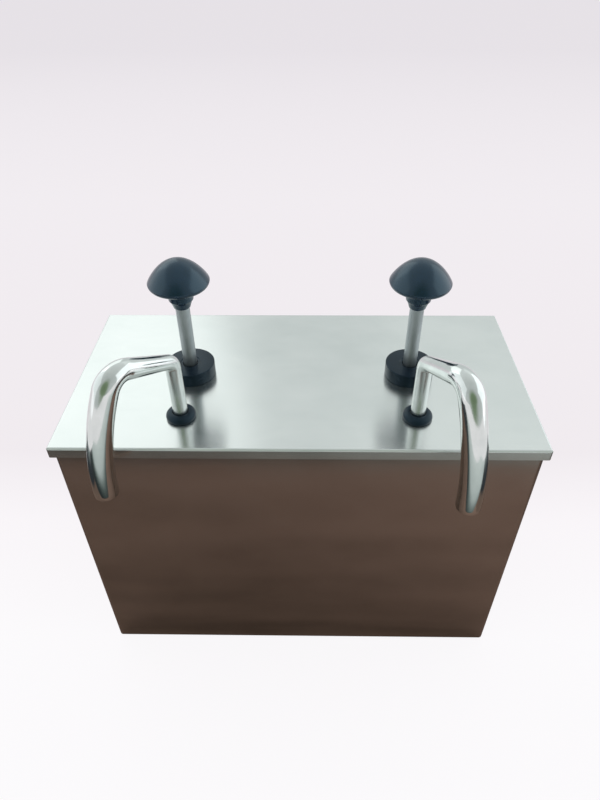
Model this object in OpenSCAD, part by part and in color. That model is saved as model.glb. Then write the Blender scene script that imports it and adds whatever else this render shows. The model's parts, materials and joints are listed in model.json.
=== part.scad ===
// Two-pump counter sauce dispenser, millimetres, origin at the centre of the base, front towards -Y.

/* [Lid] */
// Width of the slip-over lid
lid_w = 400; // [340:1:460]
// Depth of the slip-over lid
lid_d = 200; // [180:1:240]
// Height of the lid's top face above the counter
lid_top = 285; // [260:1:320]
// Depth of the folded skirt
lid_skirt = 10; // [6:1:20]
// Thickness of the lid sheet
lid_t = 1.2; // [0.8:0.1:2]
// Inside bend radius along the lid's edges and corners
lid_bend = 0.6; // [0.3:0.1:3]
// How far the lid stands out past the housing on each side
lid_overhang = 3; // [2.2:0.1:6]

/* [Housing] */
// Thickness of the housing sheet
sheet_t = 1; // [0.6:0.1:1.6]
// Outer radius of the housing's upright corners
housing_corner_r = 4; // [2.5:0.1:8]
// Height of the base pan's upturned edge
base_lip = 12; // [6:1:20]
// Width of the hem turned in along the top of the housing
hem_w = 2.5; // [2.2:0.1:3]
// Depth of that hem
hem_h = 6; // [3:0.5:10]

/* [Tanks] */
// Thickness of a tank's wall
tank_t = 1; // [0.6:0.1:1.6]
// Radius of a tank's upright corners
tank_corner_r = 22; // [10:1:40]
// Width of the rim turned out round a tank's mouth
tank_rim = 4; // [2:0.5:6]
// Room between a tank's rim and the housing or the next tank
tank_gap = 1.5; // [0.8:0.1:4]
// Height of a tank, rim included
tank_h = 245; // [200:1:258]

/* [Pumps] */
// Distance of each pump from the middle of the lid
pump_x = 98.5; // [85:0.5:120]
// Stroke of the plunger
stroke = 50; // [30:1:70]
// Diameter of the plunger rod
rod_d = 12; // [8:0.5:16]
// Room left between collar and knob when the knob is pressed
knob_room = 7.5; // [2:0.5:20]
// Bore of the pump cylinder
cyl_bore = 29.5; // [26:0.5:34]
// Wall of the pump cylinder
cyl_wall = 1.75; // [1:0.05:2.5]
// Diameter of the collar on the lid
collar_d = 43; // [41:0.5:56]
// Height of the collar on the lid
collar_h = 12.2; // [9:0.1:20]
// Thickness of the collar's top
collar_top_t = 3.2; // [2:0.1:5]
// Width of the cylinder's flange past its wall
flange_w = 5.5; // [3:0.1:8]
// Thickness of the cylinder's flange
flange_t = 3; // [2:0.1:5]
// Thickness of the gaskets under the lid
gasket_t = 1.5; // [0.8:0.1:3]
// Length of the rod bush inside the cylinder
bush_len = 20; // [10:1:30]
// Thickness of the bush's flange
bush_flange_t = 2; // [1:0.1:4]
// Height of the piston
piston_h = 16; // [10:1:24]
// Height of the nut under the piston
nut_h = 6; // [4:0.5:8]
// Height of the stop ring on the rod
stop_h = 4; // [3:0.5:8]

/* [Knobs] */
// Diameter of the knob
knob_d = 51; // [40:0.5:60]
// Height of the knob's dome above its rim
knob_dome = 19; // [10:0.5:24]
// Depth of the knob below its rim, down to the neck
knob_under = 12.5; // [8:0.5:18]
// Height of the ring between the knob's head and its neck
knob_ring_h = 4.5; // [3:0.5:8]
// Height of the tapered neck
knob_neck_h = 7; // [4:0.5:16]
// Diameter at the top of the neck
knob_neck_d = 21; // [18:0.5:28]
// Depth of the rod's seat in the knob, from the neck's foot
knob_seat = 24; // [12:1:30]

/* [Valves] */
// Height of the pump's foot above the tank floor
foot_gap = 14; // [8:1:30]
// Diameter of the inlet ball
inlet_ball_d = 12; // [8:0.5:14]
// Diameter of the outlet ball
outlet_ball_d = 10; // [7:0.5:10]
// How far a valve ball lifts
ball_lift = 4; // [2:0.5:6]
// Bore of the passage from the foot to the riser
passage_d = 8; // [5:0.5:9]
// Wall of the foot and of the elbow round their bores
valve_wall = 4; // [3:0.5:6]
// Depth of the sockets that hold the cylinder and the riser
socket_h = 12; // [8:1:20]
// Thickness of the perforated ball cage
cage_t = 2; // [1.5:0.1:4]
// Number of holes in the ball cage
cage_holes = 6; // [3:1:8]

/* [Springs] */
// Diameter of the spring wire
wire_d = 2.2; // [1.4:0.1:2.8]
// Mean diameter of the return spring
spring_d = 23; // [21:0.1:25]
// Number of turns
spring_turns = 8; // [5:1:12]
// Length of the return spring when the knob is pressed
spring_pressed = 28; // [24:1:45]

/* [Spouts] */
// Distance of the spout's leg in front of the pump
leg_reach = 60; // [50:0.5:66]
// Outer diameter of the leg
leg_d = 12.4; // [10:0.1:14]
// Wall of the spout tube
tube_wall = 1.2; // [0.8:0.1:2]
// Height of the leg above the lid up to its elbow
leg_rise = 50.7; // [35:0.1:70]
// Centre-line radius of the elbow
elbow_r = 8.5; // [7.5:0.1:16]
// Slope of the run above level
run_slope = 22; // [8:0.5:30]
// Length of the run
run_len = 38; // [22:0.5:50]
// Outer diameter at the end of the run
run_end_d = 16.8; // [13:0.1:18]
// Outer diameter of the nozzle
nozzle_d = 19.5; // [18:0.1:22]
// Centre-line radius of the bend
bend_r = 16.5; // [14:0.5:30]
// Slope where the bend passes into the drop
drop_slope = -63; // [-75:1:-60]
// Centre-line radius of the drop, which ends upright
drop_r = 192; // [160:1:260]
// Heading of the left spout, from straight ahead, towards +X
left_heading = -38; // [-45:1:45]
// Heading of the right spout, from straight ahead, towards +X
right_heading = 22; // [-45:1:45]

/* [Swivels] */
// Diameter of the grommet at the lid
grommet_d = 25; // [22:0.5:32]
// Height of the grommet
grommet_h = 6; // [5:0.1:12]
// Outer diameter of the swivel sleeve
sleeve_d = 18; // [17.5:0.1:20]
// Depth of the leg below the lid
leg_depth = 27; // [20:1:40]
// Outer diameter of the riser
riser_d = 14; // [13.5:0.1:15]
// Bore of the riser
riser_bore = 9; // [6:0.5:9]

/* [Clearances] */
// Radial running clearance of rod, piston ring and leg
run_gap = 0.05; // [0.02:0.01:0.1]
// Radial clearance of pieces that are fitted together
fit_gap = 0.05; // [0.02:0.01:0.2]
// Clearance where pieces pass each other freely
free_gap = 0.3; // [0.3:0.05:0.6]

/* [Hidden] */
$fn = 64;
SIDES = ["left", "right"];
PUMP_PARTS = ["knob", "rod", "rod_stop", "piston", "piston_ring", "piston_nut", "return_spring",
    "collar", "rod_bush", "lid_gasket", "pump_cylinder", "foot_valve", "ball_cage", "inlet_ball",
    "outlet_elbow", "outlet_ball", "riser", "swivel_sleeve", "spout_seal", "grommet",
    "spout_leg", "spout_arm"];

// Colours as the photograph shows them
STEEL = "#b9bdba";
DARK_STEEL = "#8d908d";
CHROME = "#dfe3e1";
BLACK = "#262c33";
WHITE = "#e8e6df";
RUBBER = "#3a3a3a";

// Overlap that keeps cuts and joined lengths clean
eps = 0.01;

// Housing and tanks
lid_under = lid_top - lid_t;
body_w = lid_w - 2 * lid_overhang;
body_d = lid_d - 2 * lid_overhang;
room_w = body_w - 2 * sheet_t;
room_d = body_d - 2 * sheet_t;
pan_w = room_w - 2 * fit_gap;
pan_d = room_d - 2 * fit_gap;
// The tanks stand between the pan's upturned edges
tank_w = (pan_w - 2 * sheet_t - 3 * tank_gap) / 2 - 2 * tank_rim;
tank_d = pan_d - 2 * sheet_t - 2 * tank_gap - 2 * tank_rim;
tank_x = tank_w / 2 + tank_rim + tank_gap / 2;
tank_floor = sheet_t + tank_t;

// Pump heights
rod_r = rod_d / 2;
cyl_r = cyl_bore / 2;
cyl_out_r = cyl_r + cyl_wall;
collar_top = lid_top + collar_h;
bush_top = collar_top - collar_top_t;
cyl_top = bush_top - bush_flange_t;
bush_foot = cyl_top - bush_len;
flange_top = lid_under - gasket_t;
neck_foot = collar_top + stroke + knob_room;
foot_z = tank_floor + foot_gap;

// Inlet valve: a 45 degree seat under the ball, which lies just off it
inlet_r = inlet_ball_d / 2;
inlet_seat_r = inlet_r * 0.66;
inlet_case_r = inlet_r + 1.3;
inlet_seat_z = foot_z + valve_wall;
inlet_centre = inlet_seat_z - inlet_seat_r + inlet_r * sqrt(2) + free_gap / 2;
cage_z = inlet_centre + inlet_r + ball_lift + free_gap;
cage_top = cage_z + cage_t;
passage_z = cage_top + 1 + passage_d / 2;
cyl_foot = passage_z + passage_d / 2 + 2;
foot_top = cyl_foot + socket_h;
foot_r = cyl_out_r + fit_gap + valve_wall;
boss_r = passage_d / 2 + valve_wall;
boss_end = (leg_reach + foot_r) / 2;

// Outlet valve, at the foot of the riser
outlet_r = outlet_ball_d / 2;
outlet_seat_r = outlet_r * 0.66;
outlet_case_r = outlet_r + 1;
outlet_seat_z = passage_z + boss_r - 1;
outlet_centre = outlet_seat_z - outlet_seat_r + outlet_r * sqrt(2) + free_gap / 2;
riser_foot = outlet_centre + outlet_r + ball_lift + free_gap;
elbow_top = riser_foot + socket_h;
elbow_out_r = riser_d / 2 + fit_gap + valve_wall;

// Plunger: the spring stands on the ball cage and lifts the piston against the stop ring
spring_len = spring_pressed + stroke;
piston_foot = cage_top + spring_len;
piston_top = piston_foot + piston_h;
piston_r = cyl_r - free_gap;
ring_h = piston_h / 4;
ring_depth = 2.2;
ring_z = piston_foot + piston_h * 0.6;
spigot_r = rod_r * 0.6;
rod_top = neck_foot + knob_seat;
stop_top = bush_foot - free_gap;
stop_r = cyl_r - 3;

// Swivel: the leg turns in the sleeve above the riser
leg_r = leg_d / 2;
leg_foot = lid_top - leg_depth;
shoulder_t = 2;
sleeve_foot = leg_foot - free_gap - shoulder_t - socket_h;
sleeve_thread = 3.5;
sleeve_top = lid_top + sleeve_thread;
riser_top = sleeve_foot + socket_h;
seal_h = 2.2;
seal_w = 1.7;
seal_z = lid_top - leg_depth / 2;

// Spout curve in its own upright plane: distance out from the leg, height above the lid
run_start = [elbow_r * (1 - sin(run_slope)), leg_rise + elbow_r * cos(run_slope)];
run_end = run_start + run_len * [cos(run_slope), sin(run_slope)];
bend_centre = run_end + bend_r * [sin(run_slope), -cos(run_slope)];
bend_end = bend_centre + bend_r * [-sin(drop_slope), cos(drop_slope)];
drop_centre = bend_end + drop_r * [sin(drop_slope), -cos(drop_slope)];
tip_slope = -90;
elbow_rings = 8;
bend_rings = 14;
drop_rings = 8;
arm_sides = 28;

function sign_of(side) = side == "left" ? -1 : 1;
function heading(side) = side == "left" ? left_heading : right_heading;

// A ring of the arm: distance out, height, slope and radius
function arc_ring(centre, turn_r, slope, radius) =
    [centre[0] - turn_r * sin(slope), centre[1] + turn_r * cos(slope), slope, radius];
function smooth(share) = share * share * (3 - 2 * share);
function flare(share) = (run_end_d + (nozzle_d - run_end_d) * smooth(share)) / 2;
function arm_rings() = concat(
    [for (i = [0 : elbow_rings])
        arc_ring([elbow_r, leg_rise], elbow_r, 90 + (run_slope - 90) * i / elbow_rings, leg_r)],
    [for (i = [0 : bend_rings]) let (share = i / bend_rings)
        arc_ring(bend_centre, bend_r, run_slope + share * (drop_slope - run_slope), flare(share))],
    [for (i = [1 : drop_rings]) let (share = i / drop_rings)
        arc_ring(drop_centre, drop_r, drop_slope + share * (tip_slope - drop_slope), nozzle_d / 2)]);
function ring_points(ring, inset) =
    [for (k = [0 : arm_sides - 1])
        let (turn = 360 * k / arm_sides, up = (ring[3] - inset) * cos(turn))
        [ring[0] - up * sin(ring[2]), (ring[3] - inset) * sin(turn), ring[1] + up * cos(ring[2])]];

// Rectangle with round corners, centred
module round_rect(w, d, r) {
    square([w - 2 * r, d], center = true);
    square([w, d - 2 * r], center = true);
    for (x = [-1, 1])
        for (y = [-1, 1])
            translate([x * (w / 2 - r), y * (d / 2 - r)])
                circle(r);
}

// Sheet wall of a given height round a rounded rectangle
module sheet_ring(w, d, r, t, h) {
    linear_extrude(h)
        difference() {
            round_rect(w, d, r);
            round_rect(w - 2 * t, d - 2 * t, r - t);
        }
}

// Half outline of a folded cap: flat foot, bent shoulders
module cap_profile(w, h, r) {
    translate([-w / 2, 0])
        square([w, h - r]);
    translate([r - w / 2, 0])
        square([w - 2 * r, h]);
    for (x = [-1, 1])
        translate([x * (w / 2 - r), h - r])
            circle(r);
}

// Block whose top edges and upright corners are bent to one radius
module folded_block(w, d, h, r) {
    intersection() {
        linear_extrude(h)
            round_rect(w, d, r);
        translate([0, d / 2, 0])
            rotate([90, 0, 0])
                linear_extrude(d)
                    cap_profile(w, h, r);
        translate([-w / 2, 0, 0])
            rotate([90, 0, 90])
                linear_extrude(w)
                    cap_profile(d, h, r);
    }
}

// Straight bore or rod between two heights
module rod_between(z0, z1, r) {
    translate([0, 0, z0])
        cylinder(h = z1 - z0, r = r);
}

// Ring between two heights
module tube_between(z0, z1, r_out, r_in) {
    translate([0, 0, z0])
        rotate_extrude()
            translate([r_in, 0])
                square([r_out - r_in, z1 - z0]);
}

// Places a piece on a pump's axis, or on the axis of its spout
module on_pump(side) {
    translate([sign_of(side) * pump_x, 0, 0])
        children();
}
module on_leg(side) {
    translate([sign_of(side) * pump_x, -leg_reach, 0])
        children();
}

// Turns a piece whose own +X points out of the spout to the spout's heading
module on_spout(side) {
    on_leg(side)
        translate([0, 0, lid_top])
            rotate([0, 0, heading(side) - 90])
                children();
}

// Wrapped sheet walls with a hem along the top
module housing_shell() {
    color(STEEL) {
        sheet_ring(body_w, body_d, housing_corner_r, sheet_t, lid_under);
        translate([0, 0, lid_under - hem_h])
            difference() {
                sheet_ring(body_w, body_d, housing_corner_r, hem_w, hem_h);
                translate([0, 0, -eps])
                    sheet_ring(body_w - 2 * sheet_t, body_d - 2 * sheet_t, housing_corner_r - sheet_t,
                        hem_w - 2 * sheet_t, hem_h - sheet_t);
            }
    }
}

// Floor pan inside the foot of the walls
module base_pan() {
    color(DARK_STEEL) {
        linear_extrude(sheet_t)
            round_rect(pan_w, pan_d, housing_corner_r - sheet_t);
        sheet_ring(pan_w, pan_d, housing_corner_r - sheet_t, sheet_t, base_lip);
    }
}

// Slip-over lid with holes for the pumps and the swivels
module lid() {
    color(STEEL)
        difference() {
            translate([0, 0, lid_top - lid_skirt])
                difference() {
                    folded_block(lid_w, lid_d, lid_skirt, lid_bend + lid_t);
                    translate([0, 0, -lid_t])
                        folded_block(lid_w - 2 * lid_t, lid_d - 2 * lid_t, lid_skirt, lid_bend);
                }
            for (side = SIDES) {
                on_pump(side)
                    rod_between(lid_top - lid_skirt, lid_top + eps, cyl_out_r + free_gap);
                on_leg(side)
                    rod_between(lid_top - lid_skirt, lid_top + eps, sleeve_d / 2 + free_gap);
            }
        }
}

// Lift-out tank with a rim turned out round its mouth
module tank(side) {
    color(STEEL)
        translate([sign_of(side) * tank_x, 0, sheet_t]) {
            linear_extrude(tank_t)
                round_rect(tank_w, tank_d, tank_corner_r);
            sheet_ring(tank_w, tank_d, tank_corner_r, tank_t, tank_h);
            translate([0, 0, tank_h - tank_t])
                sheet_ring(tank_w + 2 * tank_rim, tank_d + 2 * tank_rim, tank_corner_r + tank_rim,
                    tank_rim + tank_t, tank_t);
        }
}

// Mushroom knob: a peaked dome, a rolled edge, an underside that sweeps in to a ring, and a tapered neck
module knob(side) {
    rim_z = knob_neck_h + knob_ring_h + knob_under;
    rim_r = knob_d / 2;
    edge_r = 4.5;
    edge_x = rim_r - edge_r;
    neck_r = knob_neck_d / 2;
    foot_r = rod_r + 1.2;
    dome = [for (a = [0 : 6 : 90]) [rim_r * cos(a), rim_z + knob_dome * pow(sin(a), 1.5)]];
    under = [for (a = [0 : 15 : 90])
        [neck_r + (edge_x - neck_r) * (1 - cos(a)), rim_z - edge_r - (knob_under - edge_r) * (1 - sin(a))]];
    edge = [for (a = [-75 : 15 : -15]) [edge_x + edge_r * cos(a), rim_z + edge_r * sin(a)]];
    color(BLACK)
        on_pump(side)
            translate([0, 0, neck_foot])
                rotate_extrude()
                    polygon(concat([[rod_r + fit_gap, 0], [foot_r, 0], [neck_r - 1, knob_neck_h],
                        [neck_r, knob_neck_h]], under, edge, dome,
                        [[0, knob_seat], [rod_r + fit_gap, knob_seat]]));
}

// Plunger rod with a thinner spigot through the piston
module rod(side) {
    color(STEEL)
        on_pump(side) {
            rod_between(piston_top, rod_top, rod_r);
            rod_between(piston_foot - nut_h, piston_top + eps, spigot_r);
        }
}

// Ring clamped on the rod that meets the bush at the top of the stroke
module rod_stop(side) {
    color(DARK_STEEL)
        on_pump(side)
            tube_between(stop_top - stop_h, stop_top, stop_r, rod_r + fit_gap);
}

// Piston with a groove for its ring
module piston(side) {
    color(WHITE)
        on_pump(side)
            difference() {
                rod_between(piston_foot, piston_top, piston_r);
                rod_between(piston_foot - eps, piston_top + eps, spigot_r + fit_gap);
                tube_between(ring_z - ring_h / 2, ring_z + ring_h / 2, piston_r + 1, piston_r - ring_depth);
            }
}

// Sealing ring, running in the cylinder
module piston_ring(side) {
    color(RUBBER)
        on_pump(side)
            tube_between(ring_z - ring_h / 2, ring_z + ring_h / 2, cyl_r - run_gap,
                piston_r - ring_depth + fit_gap);
}

// Hexagon nut that holds the piston on its spigot
module piston_nut(side) {
    nut_r = spigot_r * 2;
    color(STEEL)
        on_pump(side)
            difference() {
                translate([0, 0, piston_foot - nut_h])
                    cylinder(h = nut_h, r = nut_r, $fn = 6);
                rod_between(piston_foot - nut_h - eps, piston_foot + eps, spigot_r + fit_gap);
            }
}

// Return spring: one round wire wound from the ball cage up to the piston, ends ground flat
module return_spring(side) {
    steps = 12;
    wire_sides = 6;
    wire_r = wire_d / 2;
    mean_r = spring_d / 2;
    count = spring_turns * steps;
    climb = spring_len - wire_d - 2 * free_gap;
    points = [for (i = [0 : count]) for (k = [0 : wire_sides - 1])
        let (turn = 360 * i / steps, round_wire = 360 * k / wire_sides,
            r = mean_r + wire_r * cos(round_wire))
        [r * cos(turn), r * sin(turn),
            free_gap + wire_r + climb * i / count + wire_r * sin(round_wire)]];
    sides = [for (i = [0 : count - 1]) for (k = [0 : wire_sides - 1])
        let (a = i * wire_sides + k, b = i * wire_sides + (k + 1) % wire_sides)
        each [[a, b, a + wire_sides], [b, b + wire_sides, a + wire_sides]]];
    start = [for (k = [1 : wire_sides - 2]) [0, k + 1, k]];
    last = count * wire_sides;
    finish = [for (k = [1 : wire_sides - 2]) [last, last + k, last + k + 1]];
    color(STEEL)
        on_pump(side)
            translate([0, 0, cage_top])
                polyhedron(points, concat(sides, start, finish));
}

// Screwed cap on top of the lid that clamps the pump
module collar(side) {
    color(BLACK)
        on_pump(side)
            rotate_extrude()
                polygon([[cyl_out_r + fit_gap, lid_top], [collar_d / 2, lid_top],
                    [collar_d / 2, collar_top - 0.8], [collar_d / 2 - 0.8, collar_top],
                    [rod_r + free_gap, collar_top], [rod_r + free_gap, bush_top],
                    [cyl_out_r + fit_gap, bush_top]]);
}

// Flanged bush that guides the rod
module rod_bush(side) {
    color(WHITE)
        on_pump(side)
            rotate_extrude()
                polygon([[rod_r + run_gap, bush_foot], [cyl_r - fit_gap, bush_foot],
                    [cyl_r - fit_gap, cyl_top], [cyl_out_r - fit_gap, cyl_top],
                    [cyl_out_r - fit_gap, bush_top], [rod_r + run_gap, bush_top]]);
}

// Flat gasket between the cylinder's flange and the lid
module lid_gasket(side) {
    color(RUBBER)
        on_pump(side)
            tube_between(flange_top, lid_under, cyl_out_r + flange_w, cyl_out_r + fit_gap);
}

// Pump cylinder with its flange under the lid
module pump_cylinder(side) {
    color(STEEL)
        on_pump(side)
            rotate_extrude()
                polygon([[cyl_r, cyl_foot], [cyl_out_r, cyl_foot], [cyl_out_r, flange_top - flange_t],
                    [cyl_out_r + flange_w, flange_top - flange_t], [cyl_out_r + flange_w, flange_top],
                    [cyl_out_r, flange_top], [cyl_out_r, cyl_top], [cyl_r, cyl_top]]);
}

// Foot of the pump: inlet seat, ball case, socket for the cylinder and a boss towards the riser
module foot_valve(side) {
    intake_flare = 2;
    color(WHITE)
        on_pump(side)
            difference() {
                union() {
                    rod_between(foot_z, foot_top, foot_r);
                    translate([0, 0, passage_z])
                        rotate([90, 0, 0])
                            cylinder(h = boss_end, r = boss_r);
                }
                rotate_extrude()
                    polygon([[0, foot_z - eps], [inlet_seat_r + intake_flare, foot_z - eps],
                        [inlet_seat_r, foot_z + intake_flare], [inlet_seat_r, inlet_seat_z],
                        [inlet_case_r, inlet_seat_z + inlet_case_r - inlet_seat_r], [inlet_case_r, cage_z],
                        [cyl_r, cage_z], [cyl_r, cyl_foot], [cyl_out_r + fit_gap, cyl_foot],
                        [cyl_out_r + fit_gap, foot_top + eps], [0, foot_top + eps]]);
                translate([0, 0, passage_z])
                    rotate([90, 0, 0])
                        cylinder(h = boss_end + eps, r = passage_d / 2);
            }
}

// Perforated disc that keeps the inlet ball down and carries the spring
module ball_cage(side) {
    hole_r = 2;
    color(STEEL)
        on_pump(side)
            difference() {
                rod_between(cage_z, cage_top, cyl_r - fit_gap);
                for (i = [0 : cage_holes - 1])
                    rotate([0, 0, 360 * i / cage_holes])
                        translate([inlet_case_r - hole_r, 0, 0])
                            rod_between(cage_z - eps, cage_top + eps, hole_r);
            }
}

// Valve balls, each just off its seat
module inlet_ball(side) {
    color(CHROME)
        on_pump(side)
            translate([0, 0, inlet_centre])
                sphere(inlet_r);
}
module outlet_ball(side) {
    color(CHROME)
        on_leg(side)
            translate([0, 0, outlet_centre])
                sphere(outlet_r);
}

// Elbow from the foot's boss up into the riser, with the outlet seat in it
module outlet_elbow(side) {
    arm = leg_reach - boss_end;
    elbow_foot = passage_z - boss_r;
    color(WHITE)
        on_leg(side)
            difference() {
                union() {
                    rod_between(elbow_foot, elbow_top, elbow_out_r);
                    translate([0, arm, passage_z])
                        rotate([90, 0, 0])
                            cylinder(h = arm, r = boss_r);
                }
                rotate_extrude()
                    polygon([[0, passage_z], [outlet_seat_r, passage_z], [outlet_seat_r, outlet_seat_z],
                        [outlet_case_r, outlet_seat_z + outlet_case_r - outlet_seat_r],
                        [outlet_case_r, riser_foot], [riser_d / 2 + fit_gap, riser_foot],
                        [riser_d / 2 + fit_gap, elbow_top + eps], [0, elbow_top + eps]]);
                translate([0, arm + eps, passage_z])
                    rotate([90, 0, 0])
                        cylinder(h = arm + eps, r = passage_d / 2);
            }
}

// Upright pipe from the elbow to the swivel
module riser(side) {
    color(STEEL)
        on_leg(side)
            tube_between(riser_foot, riser_top, riser_d / 2, riser_bore / 2);
}

// Sleeve through the lid: socket for the riser below, bearing for the spout's leg above
module swivel_sleeve(side) {
    sleeve_r = sleeve_d / 2;
    rim_r = grommet_d / 2;
    bearing_r = leg_r + run_gap;
    groove_r = bearing_r + seal_w + fit_gap;
    color(STEEL)
        on_leg(side)
            rotate_extrude()
                polygon([[riser_d / 2 + fit_gap, sleeve_foot], [sleeve_r, sleeve_foot],
                    [sleeve_r, lid_under - flange_t], [rim_r, lid_under - flange_t], [rim_r, lid_under],
                    [sleeve_r, lid_under], [sleeve_r, sleeve_top], [bearing_r, sleeve_top],
                    [bearing_r, seal_z + seal_h / 2], [groove_r, seal_z + seal_h / 2],
                    [groove_r, seal_z - seal_h / 2], [bearing_r, seal_z - seal_h / 2],
                    [bearing_r, riser_top + shoulder_t], [riser_bore / 2, riser_top + shoulder_t],
                    [riser_bore / 2, riser_top], [riser_d / 2 + fit_gap, riser_top]]);
}

// Seal round the leg, in the sleeve's groove
module spout_seal(side) {
    color(RUBBER)
        on_leg(side)
            tube_between(seal_z - seal_h / 2, seal_z + seal_h / 2, leg_r + run_gap + seal_w, leg_r + run_gap);
}

// Domed grommet screwed on the sleeve above the lid
module grommet(side) {
    base_r = grommet_d / 2;
    wall_h = 1.6;
    top_r = leg_r + 1.2;
    cap = [for (a = [0 : 15 : 90])
        [top_r + (base_r - top_r) * cos(a), lid_top + wall_h + (grommet_h - wall_h) * sin(a)]];
    color(BLACK)
        on_leg(side)
            rotate_extrude()
                polygon(concat([[sleeve_d / 2 + fit_gap, lid_top], [base_r, lid_top]], cap,
                    [[leg_r + free_gap, lid_top + grommet_h], [leg_r + free_gap, sleeve_top],
                    [sleeve_d / 2 + fit_gap, sleeve_top]]));
}

// Upright leg of the spout, which turns in the sleeve
module spout_leg(side) {
    color(CHROME)
        on_leg(side)
            tube_between(leg_foot, lid_top + leg_rise, leg_r, leg_r - tube_wall);
}

// Arm of the spout: elbow, widening run, flared bend and open drop, lofted along its curve
module spout_arm(side) {
    rings = arm_rings();
    n = arm_sides;
    count = len(rings);
    outside = [for (ring = rings) each ring_points(ring, 0)];
    inside = [for (ring = rings) each ring_points(ring, tube_wall)];
    inner = count * n;
    last = (count - 1) * n;
    faces = [for (k = [0 : n - 1]) let (m = (k + 1) % n)
        each concat(
            [for (i = [0 : count - 2]) let (a = i * n + k, b = i * n + m)
                each [[a, a + n, b], [b, a + n, b + n],
                    [inner + a, inner + b, inner + a + n], [inner + b, inner + b + n, inner + a + n]]],
            [[k, m, inner + k], [m, inner + m, inner + k],
                [last + k, inner + last + k, last + m], [last + m, inner + last + k, inner + last + m]])];
    color(CHROME)
        on_spout(side)
            polyhedron(concat(outside, inside), faces);
}

housing_shell();
base_pan();
lid();
for (side = SIDES) {
    tank(side);
    knob(side);
    rod(side);
    rod_stop(side);
    piston(side);
    piston_ring(side);
    piston_nut(side);
    return_spring(side);
    collar(side);
    rod_bush(side);
    lid_gasket(side);
    pump_cylinder(side);
    foot_valve(side);
    ball_cage(side);
    inlet_ball(side);
    outlet_elbow(side);
    outlet_ball(side);
    riser(side);
    swivel_sleeve(side);
    spout_seal(side);
    grommet(side);
    spout_leg(side);
    spout_arm(side);
}
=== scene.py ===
import json
from math import cos, pi, radians, sin

import bmesh
import bpy
from mathutils import Matrix, Vector


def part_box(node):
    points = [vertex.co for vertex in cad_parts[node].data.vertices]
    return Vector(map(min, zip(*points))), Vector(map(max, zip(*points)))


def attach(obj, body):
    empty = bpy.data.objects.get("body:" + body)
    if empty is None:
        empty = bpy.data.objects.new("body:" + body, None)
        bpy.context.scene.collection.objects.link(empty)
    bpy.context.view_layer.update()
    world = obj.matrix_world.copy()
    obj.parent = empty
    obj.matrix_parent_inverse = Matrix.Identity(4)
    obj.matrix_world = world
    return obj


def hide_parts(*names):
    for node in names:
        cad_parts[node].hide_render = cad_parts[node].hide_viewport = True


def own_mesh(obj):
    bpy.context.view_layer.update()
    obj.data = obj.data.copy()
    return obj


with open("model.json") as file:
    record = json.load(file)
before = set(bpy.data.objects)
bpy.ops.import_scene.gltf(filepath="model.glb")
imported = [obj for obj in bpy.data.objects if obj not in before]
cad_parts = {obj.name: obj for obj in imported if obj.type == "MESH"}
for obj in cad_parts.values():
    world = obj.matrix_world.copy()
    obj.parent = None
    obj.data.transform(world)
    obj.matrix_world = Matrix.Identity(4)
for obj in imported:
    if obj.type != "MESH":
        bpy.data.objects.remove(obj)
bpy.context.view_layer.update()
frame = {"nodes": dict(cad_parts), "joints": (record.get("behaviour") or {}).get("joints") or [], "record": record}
nodes = frame["nodes"]

# Sauce dispenser with two hand pumps: sizes of pieces are in mm, those of the stage and the lights in metres
MM = 0.001
SIDES = ("left", "right")

# Places taken from the frame
LID_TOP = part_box("lid")[1][2]
joint_named = {joint["name"]: joint for joint in frame["joints"]}


def pump_axis(side):
    """Middle of a pump's rod, in plan."""
    low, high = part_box(side + "_rod")
    return Vector(((low[0] + high[0]) / 2, (low[1] + high[1]) / 2, 0))


def leg_axis(side):
    """Axis on which a spout swivels, in plan."""
    x, y, z = joint_named[side + "_swivel"]["pos_m"]
    return Vector((x, y, 0))


# Camera
# The viewpoint was worked out from the lid's and the housing's edges in a 600 x 800 frame
FRAME_LONG_SIDE = 800
FOCAL_PIXELS = 608.784
SENSOR = 36
NEAREST = 0.01
CAMERA_PLACE = Vector((7.98, -442.14, 620.82)) * MM
CAMERA_DOWN = radians(39.7545)
CAMERA_TURN = radians(-1.0505)
CAMERA_ROLL = radians(0.4242)


def add_camera():
    """The photograph's viewpoint: above the front, looking down on the lid."""
    ahead = Vector((sin(CAMERA_TURN), cos(CAMERA_TURN), 0))
    forward = cos(CAMERA_DOWN) * ahead - sin(CAMERA_DOWN) * Vector((0, 0, 1))
    level = Vector((cos(CAMERA_TURN), -sin(CAMERA_TURN), 0))
    down = forward.cross(level)
    right = cos(CAMERA_ROLL) * level + sin(CAMERA_ROLL) * down
    down = cos(CAMERA_ROLL) * down - sin(CAMERA_ROLL) * level
    axes = Matrix((right, -down, -forward)).transposed().to_4x4()
    lens = bpy.data.cameras.new("camera")
    lens.sensor_width = SENSOR
    lens.lens = SENSOR * FOCAL_PIXELS / FRAME_LONG_SIDE
    lens.clip_start = NEAREST
    camera = bpy.data.objects.new("camera", lens)
    camera.matrix_world = Matrix.Translation(CAMERA_PLACE) @ axes
    bpy.context.scene.collection.objects.link(camera)
    bpy.context.scene.camera = camera


# Materials
# Noise keeps mostly to this middle band, which is spread over the range that a finish needs
NOISE_BAND = {"From Min": 0.3, "From Max": 0.7}


def linear(hex_colour):
    """An sRGB hex colour as linear RGBA."""
    channels = [int(hex_colour[i:i + 2], 16) / 255 for i in (1, 3, 5)]
    return [c / 12.92 if c <= 0.04045 else ((c + 0.055) / 1.055) ** 2.4 for c in channels] + [1.0]


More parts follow.
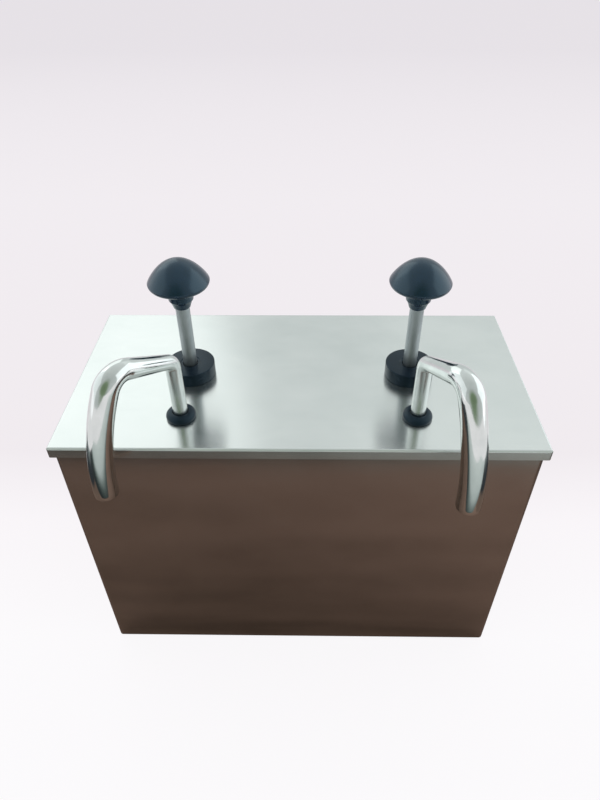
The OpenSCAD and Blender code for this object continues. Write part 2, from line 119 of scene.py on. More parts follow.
def add(tree, kind, settings=None, inputs=None, stops=()):
    """Adds a node with its own settings, its inputs, and for a ramp its stops.

    An input is a plain value, a socket to link, or a node, whose first output is linked. Stops are
    (place, sRGB colour), from low to high.
    """
    made = tree.nodes.new(kind)
    for name, value in (settings or {}).items():
        setattr(made, name, value)
    for name, value in (inputs or {}).items():
        if isinstance(value, bpy.types.Node):
            value = value.outputs[0]
        if isinstance(value, bpy.types.NodeSocket):
            tree.links.new(value, made.inputs[name])
        else:
            made.inputs[name].default_value = value
    for k, (place, colour) in enumerate(stops):
        points = made.color_ramp.elements
        point = points[k] if k < len(points) else points.new(place)
        point.position = place
        point.color = linear(colour)
    return made


def new_material(name):
    """A material without nodes, and its node tree."""
    material = bpy.data.materials.new(name)
    material.use_nodes = True
    material.node_tree.nodes.clear()
    return material, material.node_tree


def grain_field(tree, along_mm, across_mm, axis):
    """Noise drawn out along one axis: along_mm is a mark's length, across_mm its width."""
    scale = [1 / (across_mm * MM)] * 3
    scale["XYZ".index(axis)] = 1 / (along_mm * MM)
    place = add(tree, "ShaderNodeTexCoord")
    stretch = add(tree, "ShaderNodeMapping", inputs={"Vector": place.outputs["Object"], "Scale": scale})
    return add(tree, "ShaderNodeTexNoise", inputs={
        "Vector": stretch, "Scale": 1.0, "Detail": 3.0, "Roughness": 0.6})


# Rolled sheet
SMEAR_MM = (70, 45)
SMEAR_MOTTLE = 0.02
LINE_MOTTLE = 0.01
LINE_BUMP = 0.06
LINE_DEPTH_MM = 0.02
BEND_DULLING = 1.4


def satin_steel(name, dark, light, roughness, stretch, line_mm, along, wave_mm, wave_height_mm):
    """Cold-rolled stainless sheet with a satin face, wiped by hand and dulled where it was folded.

    Flat tops draw reflections out along the rolling lines. Real lines are a few hundredths of a millimetre
    wide, too fine to show, so they are drawn about ten times coarser.
    """
    material, tree = new_material(name)
    line = grain_field(tree, *line_mm, along)
    smear = grain_field(tree, *SMEAR_MM, along)
    wave = grain_field(tree, *wave_mm, along)
    wave_bump = add(tree, "ShaderNodeBump", inputs={
        "Strength": 1.0, "Distance": wave_height_mm * MM, "Height": wave})
    line_bump = add(tree, "ShaderNodeBump", inputs={
        "Strength": LINE_BUMP, "Distance": LINE_DEPTH_MM * MM, "Height": line, "Normal": wave_bump})
    lines = add(tree, "ShaderNodeMapRange", inputs={
        "Value": line, **NOISE_BAND, "To Min": -LINE_MOTTLE, "To Max": LINE_MOTTLE})
    patches = add(tree, "ShaderNodeMapRange", inputs={
        "Value": smear, **NOISE_BAND, "To Min": roughness - SMEAR_MOTTLE, "To Max": roughness + SMEAR_MOTTLE})
    mottle = add(tree, "ShaderNodeMath", {"operation": "ADD"}, {0: lines, 1: patches})
    draw = add(tree, "ShaderNodeTangent", {"direction_type": "RADIAL", "axis": along})
    facing = add(tree, "ShaderNodeSeparateXYZ", inputs={
        "Vector": add(tree, "ShaderNodeNewGeometry").outputs["True Normal"]})
    flat = add(tree, "ShaderNodeMath", {"operation": "ABSOLUTE"}, {0: facing.outputs["Z"]})
    drawn = add(tree, "ShaderNodeMath", {"operation": "MULTIPLY"}, {0: flat, 1: stretch})
    upright = add(tree, "ShaderNodeMath", {"operation": "SUBTRACT"}, {0: 1.0, 1: flat})
    bend = add(tree, "ShaderNodeMath", {"operation": "MULTIPLY"}, {0: flat, 1: upright})
    dulled = add(tree, "ShaderNodeMath", {"operation": "MULTIPLY_ADD"}, {0: bend, 1: BEND_DULLING, 2: mottle})
    stain = add(tree, "ShaderNodeMapRange", inputs={"Value": smear, **NOISE_BAND})
    shade = add(tree, "ShaderNodeValToRGB", inputs={"Fac": stain}, stops=((0, dark), (1, light)))
    sheet = add(tree, "ShaderNodeBsdfPrincipled", inputs={
        "Base Color": shade, "Metallic": 1.0, "Roughness": dulled, "Anisotropic": drawn, "Tangent": draw,
        "Normal": line_bump})
    add(tree, "ShaderNodeOutputMaterial", inputs={"Surface": sheet})
    return material


# Round stock
RING_LENGTH_MM = 40
RING_BUMP = 0.3
RING_DEPTH_MM = 0.02
RING_MOTTLE = 0.2
TONE_MM = (25, 8)


def turned_steel(name, dark, light, roughness, ring_mm):
    """Ground or drawn round stainless: rings round the axis and a slight change of tone along it.

    Real rings are a few hundredths of a millimetre apart, so they are drawn coarser to show.
    """
    material, tree = new_material(name)
    ring = grain_field(tree, ring_mm, RING_LENGTH_MM, "Z")
    tone = grain_field(tree, *TONE_MM, "Z")
    bump = add(tree, "ShaderNodeBump", inputs={
        "Strength": RING_BUMP, "Distance": RING_DEPTH_MM * MM, "Height": ring})
    change = add(tree, "ShaderNodeMapRange", inputs={"Value": tone, **NOISE_BAND})
    shade = add(tree, "ShaderNodeValToRGB", inputs={"Fac": change}, stops=((0, dark), (1, light)))
    rough = add(tree, "ShaderNodeMapRange", inputs={
        "Value": ring, **NOISE_BAND,
        "To Min": roughness * (1 - RING_MOTTLE), "To Max": roughness * (1 + RING_MOTTLE)})
    stock = add(tree, "ShaderNodeBsdfPrincipled", inputs={
        "Base Color": shade, "Metallic": 1.0, "Roughness": rough, "Normal": bump})
    add(tree, "ShaderNodeOutputMaterial", inputs={"Surface": stock})
    return material


# Plated tube
RIPPLE_MM = (14, 9)
RIPPLE_BUMP = 0.2
RIPPLE_HEIGHT_MM = 0.12
HAZE_MM = 3
HAZE_LOW = 0.09
HAZE_HIGH = 0.11
WORN_FROM_MM = 7
WORN_TO_MM = 15
WORN_DULLING = 0.16
CHROME_STOPS = ((0, "#d0d4d2"), (1, "#dcdfdd"))


def polished_chrome(name):
    """Bright plating over a bent tube: slow ripples left by bending, and a leg worn dull by turning."""
    material, tree = new_material(name)
    ripple = grain_field(tree, *RIPPLE_MM, "Z")
    haze = grain_field(tree, HAZE_MM, HAZE_MM, "Z")
    bump = add(tree, "ShaderNodeBump", inputs={
        "Strength": RIPPLE_BUMP, "Distance": RIPPLE_HEIGHT_MM * MM, "Height": ripple})
    place = add(tree, "ShaderNodeTexCoord")
    leg = leg_axis("right")
    folded = add(tree, "ShaderNodeVectorMath", {"operation": "ABSOLUTE"}, {0: place.outputs["Object"]})
    plan = add(tree, "ShaderNodeVectorMath", {"operation": "MULTIPLY"}, {0: folded, 1: (1, 1, 0)})
    reach = add(tree, "ShaderNodeVectorMath", {"operation": "DISTANCE"}, {
        0: plan, 1: (abs(leg.x), abs(leg.y), 0)})
    worn = add(tree, "ShaderNodeMapRange", inputs={
        "Value": reach.outputs["Value"], "From Min": WORN_FROM_MM * MM, "From Max": WORN_TO_MM * MM,
        "To Min": WORN_DULLING, "To Max": 0.0})
    film = add(tree, "ShaderNodeMapRange", inputs={
        "Value": haze, **NOISE_BAND, "To Min": HAZE_LOW, "To Max": HAZE_HIGH})
    rough = add(tree, "ShaderNodeMath", {"operation": "ADD"}, {0: worn, 1: film})
    change = add(tree, "ShaderNodeMapRange", inputs={"Value": ripple, **NOISE_BAND})
    shade = add(tree, "ShaderNodeValToRGB", inputs={"Fac": change}, stops=CHROME_STOPS)
    plate = add(tree, "ShaderNodeBsdfPrincipled", inputs={
        "Base Color": shade, "Metallic": 1.0, "Roughness": rough, "Normal": bump})
    add(tree, "ShaderNodeOutputMaterial", inputs={"Surface": plate})
    return material


# Mouldings
BLOOM_MM = 9
PORE_BUMP = 0.4
PLASTIC_IOR = 1.5
SHEEN_TINT = "#d1f3ff"


def moulded_plastic(name, dark, light, rough_low, rough_high, pore_mm, pore_height_mm, shine):
    """Moulded plastic or rubber: an even colour with a faint bloom and rubbed patches.

    What it mirrors has a cold cast. A mould's pores are about a tenth of a millimetre wide, so they are
    drawn coarser to show.
    """
    material, tree = new_material(name)
    pore = grain_field(tree, pore_mm, pore_mm, "X")
    bloom = grain_field(tree, BLOOM_MM, BLOOM_MM, "X")
    bump = add(tree, "ShaderNodeBump", inputs={
        "Strength": PORE_BUMP, "Distance": pore_height_mm * MM, "Height": pore})
    change = add(tree, "ShaderNodeMapRange", inputs={"Value": bloom, **NOISE_BAND})
    shade = add(tree, "ShaderNodeValToRGB", inputs={"Fac": change}, stops=((0, dark), (1, light)))
    rough = add(tree, "ShaderNodeMapRange", inputs={
        "Value": bloom, **NOISE_BAND, "To Min": rough_low, "To Max": rough_high})
    moulding = add(tree, "ShaderNodeBsdfPrincipled", inputs={
        "Base Color": shade, "Roughness": rough, "IOR": PLASTIC_IOR, "Specular IOR Level": shine,
        "Specular Tint": linear(SHEEN_TINT), "Normal": bump})
    add(tree, "ShaderNodeOutputMaterial", inputs={"Surface": moulding})
    return material


# Satin stainless lid: pale and cool, with reflections drawn out into long soft streaks
LID_STEEL = satin_steel(
    "stainless_2b_lid", dark="#d6dad8", light="#e0e3e1", roughness=0.23, stretch=0.85,
    line_mm=(60, 0.35), along="X", wave_mm=(220, 160), wave_height_mm=0.1)
# The same sheet as a wall: clearer, so that it takes the colour of the counter in front of it
HOUSING_STEEL = satin_steel(
    "stainless_2b_housing", dark="#b6b5b2", light="#c0bfbc", roughness=0.16, stretch=0.5,
    line_mm=(80, 0.4), along="X", wave_mm=(300, 30), wave_height_mm=0.06)
# Deep-drawn stainless tanks: duller, with the draw marks running up the walls
TANK_STEEL = satin_steel(
    "stainless_drawn_tank", dark="#b7b9b7", light="#c6c8c6", roughness=0.26, stretch=0.3,
    line_mm=(50, 0.5), along="Z", wave_mm=(90, 60), wave_height_mm=0.2)
# Ground stainless bar: mid grey, with one soft streak of light along it
ROD_STEEL = turned_steel(
    "stainless_ground_rod", dark="#a0a6a8", light="#aeb4b6", roughness=0.43, ring_mm=0.25)
# Drawn stainless tube: brighter than the bar, with faint rings
TUBE_STEEL = turned_steel(
    "stainless_drawn_tube", dark="#b0b2b0", light="#c0c2c0", roughness=0.26, ring_mm=0.4)
# Drawn spring wire: a darker, slightly oily grey
SPRING_STEEL = turned_steel("spring_wire", dark="#9b9d9c", light="#adafae", roughness=0.3, ring_mm=0.6)
# Lapped bearing balls: nearly a mirror
BALL_STEEL = turned_steel("bearing_steel", dark="#c4c6c6", light="#d0d2d2", roughness=0.1, ring_mm=0.8)
# Bright chrome: a mirror of the room, a little softer on the leg
CHROME = polished_chrome("chrome_plate")
# Phenolic knobs, pressed in a polished mould: blue-black, with broad soft highlights on the dome
KNOB_PLASTIC = moulded_plastic(
    "phenolic_black_knob", dark="#071a30", light="#0c2139", rough_low=0.2, rough_high=0.26,
    pore_mm=0.6, pore_height_mm=0.0004, shine=0.8)
# Turned acetal collars: almost black, with a thin gleam at the edges
COLLAR_PLASTIC = moulded_plastic(
    "acetal_black_collar", dark="#0a1522", light="#0f1c2a", rough_low=0.22, rough_high=0.28,
    pore_mm=0.5, pore_height_mm=0.002, shine=0.33)
# Elastomer grommets: black with a soft, dry shine
GROMMET_PLASTIC = moulded_plastic(
    "elastomer_black_grommet", dark="#0b1724", light="#101f2e", rough_low=0.3, rough_high=0.38,
    pore_mm=0.5, pore_height_mm=0.005, shine=0.37)
# Natural acetal inside the pumps: milky white and waxy
WHITE_PLASTIC = moulded_plastic(
    "acetal_white", dark="#dcdad2", light="#e8e6df", rough_low=0.4, rough_high=0.5,
    pore_mm=0.5, pore_height_mm=0.02, shine=0.5)
# Nitrile seals: flat black
SEAL_RUBBER = moulded_plastic(
    "nitrile_rubber", dark="#161616", light="#202020", rough_low=0.55, rough_high=0.7,
    pore_mm=0.4, pore_height_mm=0.03, shine=0.5)

SLOT_MATERIAL = {
    "housing_steel": HOUSING_STEEL, "lid_steel": LID_STEEL, "tank_steel": TANK_STEEL,
    "knob_plastic": KNOB_PLASTIC, "collar_plastic": COLLAR_PLASTIC, "grommet_plastic": GROMMET_PLASTIC,
    "spout_chrome": CHROME, "rod_steel": ROD_STEEL, "tube_steel": TUBE_STEEL, "spring_steel": SPRING_STEEL,
    "ball_steel": BALL_STEEL, "white_plastic": WHITE_PLASTIC, "seal_rubber": SEAL_RUBBER}


def paint_nodes():
    """Gives each solid of the frame the finish of its slot."""
    for part in frame["record"]["subparts"]:
        solid = nodes[part["node"]]
        solid.data.materials.clear()
        solid.data.materials.append(SLOT_MATERIAL[part["material_slot"]])


# Meshes
SMOOTH_BELOW = radians(32)


def finish_mesh(name, shape, body, slot, replaced):
    """Turns a bmesh into a smooth piece that rides on a body and stands for solids of the frame."""
    mesh = bpy.data.meshes.new(name)
    bmesh.ops.recalc_face_normals(shape, faces=shape.faces)
    shape.to_mesh(mesh)
    shape.free()
    mesh.polygons.foreach_set("use_smooth", [True] * len(mesh.polygons))
    mesh.set_sharp_from_angle(angle=SMOOTH_BELOW)
    piece = bpy.data.objects.new(name, mesh)
    bpy.context.scene.collection.objects.link(piece)
    mesh.materials.append(SLOT_MATERIAL[slot])
    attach(piece, body)
    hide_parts(*replaced)
    return piece


def skin_rings(rings, joined=True):
    """Skins closed rings of points, one after another; the last joins the first, or both ends are capped."""
    mesh = bmesh.new()
    made = [[mesh.verts.new(point) for point in ring] for ring in rings]
    count = len(made[0])
    after = made[1:]
    if joined:
        after = made[1:] + made[:1]
    else:
        mesh.faces.new(made[0])
        mesh.faces.new(made[-1][::-1])
    for here, there in zip(made, after):
        for k in range(count):
            m = (k + 1) % count
            mesh.faces.new((here[k], here[m], there[m], there[k]))
    return mesh


def circle_angles(count):
    return [2 * pi * k / count for k in range(count)]


LATHE_SEGMENTS = 96


def lathe(outline, centre):
    """Turns a closed outline of (radius, height) points in mm about an upright axis."""
    angles = circle_angles(LATHE_SEGMENTS)
    return skin_rings([
        [centre + Vector((r * cos(a), r * sin(a), z)) * MM for a in angles] for r, z in outline])


def arc(centre_r, centre_z, radius_r, radius_z, start, end, steps):
    """Points of an elliptical arc in an outline, from one angle to another in degrees."""
    angles = [radians(start + (end - start) * i / steps) for i in range(steps + 1)]
    return [(centre_r + radius_r * cos(a), centre_z + radius_z * sin(a)) for a in angles]


def quarter(steps):
    """Angles from 0 up to but without 90 degrees."""
    return [radians(90 * i / steps) for i in range(steps)]


# Knob
ROD_R = 6.0
ROD_SEAT_GAP = 0.05
KNOB_R = 25.4
KNOB_DOME = 19.0
KNOB_PEAKING = 1.8
KNOB_PEAK_R = 0.4
KNOB_AXIS_R = 0.02
KNOB_RIM_Z = 24.0
KNOB_EDGE_R = 4.5
KNOB_RING_R = 10.4
KNOB_RING_H = 4.5
KNOB_RING_EASE = 0.9
KNOB_RING_STEP = 1.0
KNOB_NECK_H = 7.0
KNOB_NECK_FLARE = 1.2
KNOB_NECK_STEPS = 5
KNOB_FOOT_R = 7.2
KNOB_FOOT_EASE = 0.5
KNOB_SEAT = 24.0
KNOB_UNDER_STEPS = 10
KNOB_DOME_STEPS = 30


def knob(side):
    """Mushroom knob: peaked dome, rolled edge, underside that sweeps in to a ring, and tapering neck."""
    foot = pump_axis(side) + Vector((0, 0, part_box(side + "_knob")[0][2]))
    bore_r = ROD_R + ROD_SEAT_GAP
    neck = [(bore_r, 0.0), (KNOB_FOOT_R - KNOB_FOOT_EASE, 0.0), (KNOB_FOOT_R, KNOB_FOOT_EASE)]
    widening = KNOB_RING_R - KNOB_RING_STEP - KNOB_FOOT_R
    for i in range(1, KNOB_NECK_STEPS + 1):
        t = i / KNOB_NECK_STEPS
        neck.append((KNOB_FOOT_R + widening * t ** KNOB_NECK_FLARE,
                     KNOB_FOOT_EASE + (KNOB_NECK_H - 2 * KNOB_FOOT_EASE) * t))
    ring = arc(KNOB_RING_R - KNOB_RING_EASE, KNOB_NECK_H + KNOB_RING_EASE,
               KNOB_RING_EASE, KNOB_RING_EASE, -60, 0, 4)
    ring_top = KNOB_NECK_H + KNOB_RING_H
    edge_r = KNOB_R - KNOB_EDGE_R
    edge_z = KNOB_RIM_Z - KNOB_EDGE_R
    under = [(KNOB_RING_R + (edge_r - KNOB_RING_R) * (1 - cos(a)), ring_top + (edge_z - ring_top) * sin(a))
             for a in quarter(KNOB_UNDER_STEPS)]
    edge = arc(edge_r, KNOB_RIM_Z, KNOB_EDGE_R, KNOB_EDGE_R, -90, 0, 12)
    dome = [(KNOB_R * cos(a), KNOB_RIM_Z + KNOB_DOME * sin(a) ** KNOB_PEAKING)
            for a in quarter(KNOB_DOME_STEPS)[1:]]
    peak = KNOB_RIM_Z + KNOB_DOME
    top = [(KNOB_PEAK_R, peak), (KNOB_AXIS_R, peak)]
    seat = [(KNOB_AXIS_R, KNOB_SEAT), (bore_r, KNOB_SEAT)]
    shape = lathe(neck + ring + under + edge + dome + top + seat, foot)
    finish_mesh(side + "_knob_moulding", shape, side + "_plunger", "knob_plastic", [side + "_knob"])


# Collar
COLLAR_R = 21.5
COLLAR_H = 12.2
COLLAR_TOP_T = 3.2
COLLAR_EASE = 0.7
COLLAR_FOOT_EASE = 0.4
DISH_OUT = 3.2
DISH_IN = 0.9
DISH_DEPTH = 0.6
ROD_GAP = 0.3
CYLINDER_R = 16.5
SCREW_GAP = 0.1


def collar(side):
    """Turned cap with eased edges and a dished ring round the rod."""
    foot = pump_axis(side) + Vector((0, 0, LID_TOP))
    screw_r = CYLINDER_R + SCREW_GAP
    bore_r = ROD_R + ROD_GAP
    ceiling = COLLAR_H - COLLAR_TOP_T
    dish_r = ROD_R + DISH_OUT
    dish_z = COLLAR_H - DISH_DEPTH
    outline = [(screw_r, 0.0), (COLLAR_R - COLLAR_FOOT_EASE, 0.0), (COLLAR_R, COLLAR_FOOT_EASE)]
    outline += arc(COLLAR_R - COLLAR_EASE, COLLAR_H - COLLAR_EASE, COLLAR_EASE, COLLAR_EASE, 0, 90, 6)
    outline += [(dish_r, COLLAR_H), (dish_r - DISH_DEPTH, dish_z), (ROD_R + DISH_IN, dish_z)]
    outline += [(bore_r, dish_z - DISH_DEPTH), (bore_r, ceiling), (screw_r, ceiling)]
    shape = lathe(outline, foot)
    finish_mesh(side + "_collar_cap", shape, "lid", "collar_plastic", [side + "_collar"])


# Grommet
GROMMET_R = 12.4
GROMMET_H = 6.0
GROMMET_BELT = 1.7
GROMMET_LIP = 1.5
GROMMET_FOOT_IN = 0.6
GROMMET_FOOT_LEAN = 0.15
GROMMET_FOOT_RISE = 0.5
MOUTH_GAP = 0.35
MOUTH_EASE_R = 0.4
MOUTH_EASE_Z = 0.5
LEG_R = 6.2
SLEEVE_R = 9.0
SLEEVE_THREAD = 3.5


def grommet(side):
    """Low rubbery bush, rounded over from a short foot to a lip close round the leg."""
    foot = leg_axis(side) + Vector((0, 0, LID_TOP))
    lip_r = LEG_R + GROMMET_LIP
    mouth_r = LEG_R + MOUTH_GAP
    screw_r = SLEEVE_R + SCREW_GAP
    outline = [(screw_r, 0.0), (GROMMET_R - GROMMET_FOOT_IN, 0.0)]
    outline += [(GROMMET_R - GROMMET_FOOT_LEAN, GROMMET_FOOT_RISE)]
    outline += arc(lip_r, GROMMET_BELT, GROMMET_R - lip_r, GROMMET_H - GROMMET_BELT, 0, 90, 16)
    outline += [(mouth_r + MOUTH_EASE_R, GROMMET_H), (mouth_r, GROMMET_H - MOUTH_EASE_Z)]
    outline += [(mouth_r, SLEEVE_THREAD), (screw_r, SLEEVE_THREAD)]
    shape = lathe(outline, foot)
    finish_mesh(side + "_grommet_bush", shape, "lid", "grommet_plastic", [side + "_grommet"])


# Return spring
WIRE_R = 1.1
WIRE_SIDES = 10
SPRING_TURNS = 8
SPRING_STEPS = 24


def return_spring(side):
    """Round wire wound from the ball cage to the piston, built at its rest length; it rides on the lid, so the
    pressed piston doesn't close it up.
    """
    low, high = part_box(side + "_return_spring")
    foot = pump_axis(side) + Vector((0, 0, low[2]))
    mean_r = (high[0] - low[0]) / 2 / MM - WIRE_R
    climb = (high[2] - low[2]) / MM - 2 * WIRE_R
    count = SPRING_TURNS * SPRING_STEPS
    up = Vector((0, 0, 1))
    rings = []
    for i in range(count + 1):
        turn = 2 * pi * i / SPRING_STEPS
        out = Vector((cos(turn), sin(turn), 0))
        middle = out * mean_r + up * (WIRE_R + climb * i / count)
        rings.append([foot + (middle + WIRE_R * (cos(a) * out + sin(a) * up)) * MM
                      for a in circle_angles(WIRE_SIDES)])
    shape = skin_rings(rings, joined=False)
    piece = finish_mesh(side + "_wound_spring", shape, "lid", "spring_steel", [side + "_return_spring"])
    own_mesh(piece)


# Spout
HEADING = {"left": radians(-38), "right": radians(22)}
TUBE_WALL = 1.2
UPRIGHT = radians(90)
LEG_RISE = 50.7
ELBOW_R = 8.5
ELBOW_STEPS = 14
RUN_SLOPE = radians(22)
RUN_LEN = 38.0
RUN_END_R = 8.4
RUN_SHARES = (0.25, 0.5, 0.75)
NOZZLE_R = 9.75
BEND_R = 16.5
BEND_STEPS = 28
DROP_SLOPE = radians(-63)
DROP_R = 192.0
DROP_STEPS = 24
TIP_SLOPE = radians(-90)
LIP_ANGLES = (30, 60, 90, 120, 150)
SPOUT_SIDES = 64


def ease_in_out(t):
    return t * t * (3 - 2 * t)


def spout_line():
    """Centre line as (out, up, slope, radius), in mm from the leg's axis and the lid's top."""
    line = []

    def turn(centre, turn_r, start, end, radii, steps):
        for i in range(steps + 1):
            t = i / steps
            slope = start + (end - start) * t
            line.append((centre[0] - turn_r * sin(slope), centre[1] + turn_r * cos(slope), slope,
                         radii[0] + (radii[1] - radii[0]) * ease_in_out(t)))

    leg_foot = (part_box("left_spout_leg")[0][2] - LID_TOP) / MM
    line.append((0, leg_foot, UPRIGHT, LEG_R))
    line.append((0, GROMMET_H, UPRIGHT, LEG_R))
    turn((ELBOW_R, LEG_RISE), ELBOW_R, UPRIGHT, RUN_SLOPE, (LEG_R, LEG_R), ELBOW_STEPS)
    out, up = line[-1][:2]
    for t in RUN_SHARES:
        line.append((out + RUN_LEN * t * cos(RUN_SLOPE), up + RUN_LEN * t * sin(RUN_SLOPE), RUN_SLOPE,
                     LEG_R + (RUN_END_R - LEG_R) * t))
    out += RUN_LEN * cos(RUN_SLOPE)
    up += RUN_LEN * sin(RUN_SLOPE)
    bend = (out + BEND_R * sin(RUN_SLOPE), up - BEND_R * cos(RUN_SLOPE))
    turn(bend, BEND_R, RUN_SLOPE, DROP_SLOPE, (RUN_END_R, NOZZLE_R), BEND_STEPS)
    out, up = line.pop()[:2]
    drop = (out + DROP_R * sin(DROP_SLOPE), up - DROP_R * cos(DROP_SLOPE))
    turn(drop, DROP_R, DROP_SLOPE, TIP_SLOPE, (NOZZLE_R, NOZZLE_R), DROP_STEPS)
    return line


def spout(side):
    """One hollow bent tube: leg, tight elbow, widening run, flared bend and drop with a rolled lip."""
    base = leg_axis(side) + Vector((0, 0, LID_TOP))
    ahead = Vector((sin(HEADING[side]), -cos(HEADING[side]), 0))
    across = Vector((0, 0, 1)).cross(ahead)
    angles = circle_angles(SPOUT_SIDES)

    def ring(out, up, slope, radius):
        middle = base + (ahead * out + Vector((0, 0, up))) * MM
        rise = (Vector((0, 0, 1)) * cos(slope) - ahead * sin(slope)) * MM
        return [middle + radius * (cos(a) * rise + sin(a) * across * MM) for a in angles]

    line = spout_line()
    rings = [ring(*place) for place in line]
    lip = TUBE_WALL / 2
    tip_out, tip_up, tip_slope, tip_r = line[-1]
    for a in map(radians, LIP_ANGLES):
        rings.append(ring(tip_out, tip_up - lip * sin(a), tip_slope, tip_r - lip + lip * cos(a)))
    rings += [ring(out, up, slope, radius - TUBE_WALL) for out, up, slope, radius in reversed(line)]
    replaced = [side + "_spout_leg", side + "_spout_arm"]
    finish_mesh(side + "_spout_tube", skin_rings(rings), side + "_spout", "spout_chrome", replaced)


# Stage
FLOOR_SIZE = 90.0
FLOOR_DROP = 0.0005
FLOOR_GLOW = 0.9
FLOOR_FADE = (-0.1, 3.1)
FLOOR_STOPS = ((0, "#fffdff"), (0.05, "#fcf8fb"), (0.09, "#f3edf1"), (0.38, "#f3eef2"), (1, "#eae5ea"))
CARD_DROP = 0.0002
CARD_ROUGHNESS = 0.9
CARDS_HALF = 0.85
CARDS_FRONT = -1.1
COUNTER_HALF = 0.36
COUNTER_FRONT = -0.365
COUNTER_BACK = -0.09
BOARD_GRAIN_MM = (500, 28)
BOARD_GRAIN_LOW = 0.1
BOARD_GRAIN_HIGH = 0.9
# Painted shade and light on the counter boards: darker near the housing, lighter to the front and the right
BOARD_SHADE_WAY = (0.4, -1.0, 0.0)
BOARD_SHADE_FADE = (0.05, 0.45)
BOARD_SHADE_LOW = -0.35
BOARD_SHADE_HIGH = 0.4
BOARD_STOPS = ((0, "#70564a"), (1, "#9c7a6c"))
EDGE_WAY = (0.25, -1.0, 0.0)
EDGE_FADE = (0.31, 1.0)
EDGE_STOPS = ((0.06, "#262d2f"), (0.145, "#525b59"), (0.22, "#858d8b"), (0.35, "#d3d7d6"), (1, "#eef0ef"))
SHADE_INNER = 0.19
SHADE_BACK = 0.09
SHADE_STOPS = ((0, "#86695b"), (0.42, "#745b4f"), (0.48, "#23272e"), (0.7, "#2b3036"), (1, "#8d9393"))


def plane(name, centre, width, depth, material):
    """A flat card of the stage, facing up."""
    mesh = bmesh.new()
    corners = [(-1, -1), (1, -1), (1, 1), (-1, 1)]
    mesh.faces.new([mesh.verts.new(Vector((x * width / 2, y * depth / 2, 0))) for x, y in corners])
    data = bpy.data.meshes.new(name)
    mesh.to_mesh(data)
    mesh.free()
    data.materials.append(material)
    card = bpy.data.objects.new(name, data)
    card.location = centre
    bpy.context.scene.collection.objects.link(card)
    return card


def floor_paint(name):
    """Pale paint that changes from front to back; it looks near white but still takes a shadow."""
    material, tree = new_material(name)
    place = add(tree, "ShaderNodeTexCoord")
    part = add(tree, "ShaderNodeSeparateXYZ", inputs={"Vector": place.outputs["Object"]})
    share = add(tree, "ShaderNodeMapRange", inputs={
        "Value": part.outputs["Y"], "From Min": FLOOR_FADE[0], "From Max": FLOOR_FADE[1]})
    shade = add(tree, "ShaderNodeValToRGB", inputs={"Fac": share}, stops=FLOOR_STOPS)
    paint = add(tree, "ShaderNodeBsdfDiffuse", inputs={"Color": shade})
    glow = add(tree, "ShaderNodeEmission", inputs={"Color": shade, "Strength": 1.0})
    light = add(tree, "ShaderNodeLightPath")
    seen = add(tree, "ShaderNodeMath", {"operation": "ADD"}, {
        0: light.outputs["Is Camera Ray"], 1: light.outputs["Is Glossy Ray"]})
    seen = add(tree, "ShaderNodeMath", {"operation": "ADD", "use_clamp": True}, {
        0: seen, 1: light.outputs["Is Transmission Ray"]})
    part_glow = add(tree, "ShaderNodeMath", {"operation": "MULTIPLY"}, {0: seen, 1: FLOOR_GLOW})
    mix = add(tree, "ShaderNodeMixShader", inputs={0: part_glow, 1: paint, 2: glow})
    add(tree, "ShaderNodeOutputMaterial", inputs={"Surface": mix})
    return material


def shaded_paint(name, way, fade, stops):
    """Matt paint that changes colour along a way over the ground, between two distances in metres."""
    material, tree = new_material(name)
    place = add(tree, "ShaderNodeNewGeometry")
    along = add(tree, "ShaderNodeVectorMath", {"operation": "DOT_PRODUCT"}, {
        0: place.outputs["Position"], 1: way})
    share = add(tree, "ShaderNodeMapRange", inputs={
        "Value": along.outputs["Value"], "From Min": fade[0], "From Max": fade[1]})
    shade = add(tree, "ShaderNodeValToRGB", inputs={"Fac": share}, stops=stops)
    paint = add(tree, "ShaderNodeBsdfPrincipled", inputs={"Base Color": shade, "Roughness": CARD_ROUGHNESS})
    add(tree, "ShaderNodeOutputMaterial", inputs={"Surface": paint})
    return material


def boards(name):
    """Oiled counter boards lying along X: warm brown, with painted shade and light that make them darker near the
    housing and lighter to the front and the right.
    """
    material, tree = new_material(name)
    grain = grain_field(tree, *BOARD_GRAIN_MM, "X")
    place = add(tree, "ShaderNodeNewGeometry")
    along = add(tree, "ShaderNodeVectorMath", {"operation": "DOT_PRODUCT"}, {
        0: place.outputs["Position"], 1: BOARD_SHADE_WAY})
    # Painted shade and light: the boards darken near the housing and lighten to the front and the right
    painted_shade = add(tree, "ShaderNodeMapRange", inputs={
        "Value": along.outputs["Value"], "From Min": BOARD_SHADE_FADE[0], "From Max": BOARD_SHADE_FADE[1],
        "To Min": BOARD_SHADE_LOW, "To Max": BOARD_SHADE_HIGH})
    figure = add(tree, "ShaderNodeMapRange", inputs={
        "Value": grain, **NOISE_BAND, "To Min": BOARD_GRAIN_LOW, "To Max": BOARD_GRAIN_HIGH})
    share = add(tree, "ShaderNodeMath", {"operation": "ADD"}, {0: painted_shade, 1: figure})
    shade = add(tree, "ShaderNodeValToRGB", inputs={"Fac": share}, stops=BOARD_STOPS)
    wood = add(tree, "ShaderNodeBsdfPrincipled", inputs={"Base Color": shade, "Roughness": CARD_ROUGHNESS})
    add(tree, "ShaderNodeOutputMaterial", inputs={"Surface": wood})
    return material


def reflector(name, low, high, material):
    """A card on the floor, between two corners in plan, that only mirrors see."""
    middle = ((low[0] + high[0]) / 2, (low[1] + high[1]) / 2, -CARD_DROP)
    card = plane(name, middle, high[0] - low[0], high[1] - low[1], material)
    card.visible_camera = False
    card.visible_diffuse = False
    card.visible_shadow = False


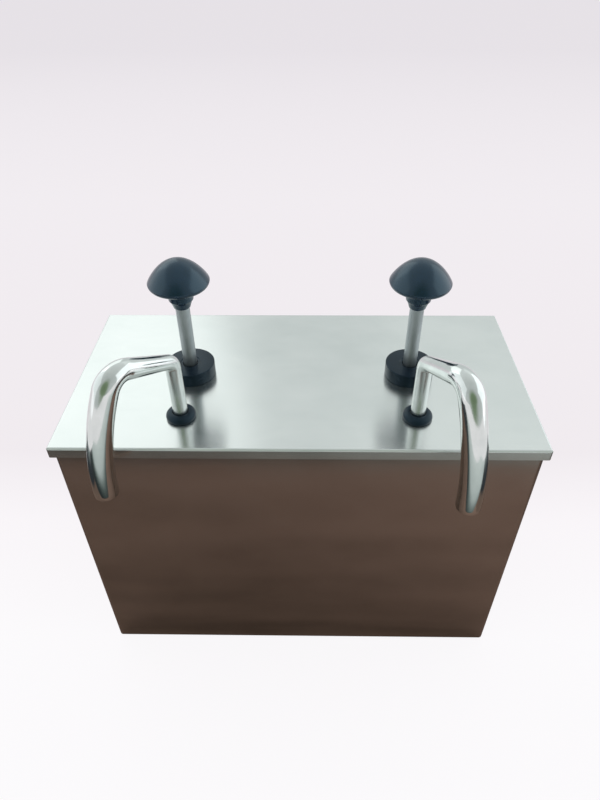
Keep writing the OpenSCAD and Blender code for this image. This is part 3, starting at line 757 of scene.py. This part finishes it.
def add_stage():
    """A pale floor, and on it what steel and chrome mirror: a brown counter, its edge and dark sides."""
    plane("floor", (0, 0, -FLOOR_DROP), FLOOR_SIZE, FLOOR_SIZE, floor_paint("pale_floor"))
    wood = boards("counter_boards")
    reflector("counter_card", (-COUNTER_HALF, COUNTER_FRONT), (COUNTER_HALF, COUNTER_BACK), wood)
    edge_grey = shaded_paint("counter_edge_grey", EDGE_WAY, EDGE_FADE, EDGE_STOPS)
    reflector("counter_edge", (-CARDS_HALF, CARDS_FRONT), (CARDS_HALF, COUNTER_FRONT), edge_grey)
    for side, sign in zip(SIDES, (-1, 1)):
        shade = shaded_paint(side + "_shade_navy", (sign, 0, 0), (SHADE_INNER, CARDS_HALF), SHADE_STOPS)
        inner, outer = sorted((sign * SHADE_INNER, sign * COUNTER_HALF))
        reflector(side + "_near_shade", (inner, COUNTER_BACK), (outer, SHADE_BACK), shade)
        inner, outer = sorted((sign * COUNTER_HALF, sign * CARDS_HALF))
        reflector(side + "_far_shade", (inner, COUNTER_FRONT), (outer, SHADE_BACK), shade)


# Light
DIM_SIDE = (-0.05, -0.91, 0.41)
SKY_STOPS = (
    (0.17, "#dde3e3"), (0.34, "#eef4f4"), (0.72, "#d4dad9"), (0.9, "#c6cccb"), (0.945, "#a9b3a9"),
    (0.97, "#82957a"), (1, "#75876c"))
WORLD_STRENGTH = 1.0


def add_world():
    """A bright even room with a small greenish dim spot in front, which the spouts' bends mirror."""
    world = bpy.data.worlds.new("studio")
    world.use_nodes = True
    tree = world.node_tree
    tree.nodes.clear()
    way = add(tree, "ShaderNodeTexCoord")
    facing = add(tree, "ShaderNodeVectorMath", {"operation": "DOT_PRODUCT"}, {
        0: way.outputs["Generated"], 1: DIM_SIDE})
    share = add(tree, "ShaderNodeMapRange", inputs={
        "Value": facing.outputs["Value"], "From Min": -1.0, "From Max": 1.0})
    sky = add(tree, "ShaderNodeValToRGB", inputs={"Fac": share}, stops=SKY_STOPS)
    glow = add(tree, "ShaderNodeBackground", inputs={"Color": sky, "Strength": WORLD_STRENGTH})
    add(tree, "ShaderNodeOutputWorld", inputs={"Surface": glow})
    bpy.context.scene.world = world


def softbox(name, place, target, width, height, watts, colour):
    """A rectangular lamp that the camera doesn't see, turned to a target."""
    lamp = bpy.data.lights.new(name, "AREA")
    lamp.shape = "RECTANGLE"
    lamp.size = width
    lamp.size_y = height
    lamp.energy = watts
    lamp.color = linear(colour)[:3]
    box = bpy.data.objects.new(name, lamp)
    box.location = place
    box.rotation_euler = (Vector(target) - Vector(place)).to_track_quat("-Z", "Y").to_euler()
    box.visible_camera = False
    bpy.context.scene.collection.objects.link(box)


def add_lamps():
    """A window behind on the left, a faint panel behind on the right, and a soft light on each side."""
    softbox("window", place=(-1.4, 1.95, 1.78), target=(-0.1, 0, 0.3), width=2.1, height=1.9,
            watts=7.5, colour="#f9fefc")
    softbox("high_panel", place=(1.0, 1.6, 2.1), target=(0.1, 0, 0.3), width=1.5, height=1.0,
            watts=0.55, colour="#f2fbf6")
    softbox("key", place=(-1.9, 0.1, 1.0), target=(0, 0, 0.3), width=2.8, height=2.2,
            watts=7, colour="#f4faff")
    softbox("fill", place=(1.9, 0.2, 1.0), target=(0, 0, 0.3), width=2.8, height=2.2,
            watts=13, colour="#f4faff")


bpy.context.scene.view_settings.view_transform = "Standard"
add_camera()
paint_nodes()
for side in SIDES:
    knob(side)
    collar(side)
    grommet(side)
    return_spring(side)
    spout(side)
add_stage()
add_world()
add_lamps()
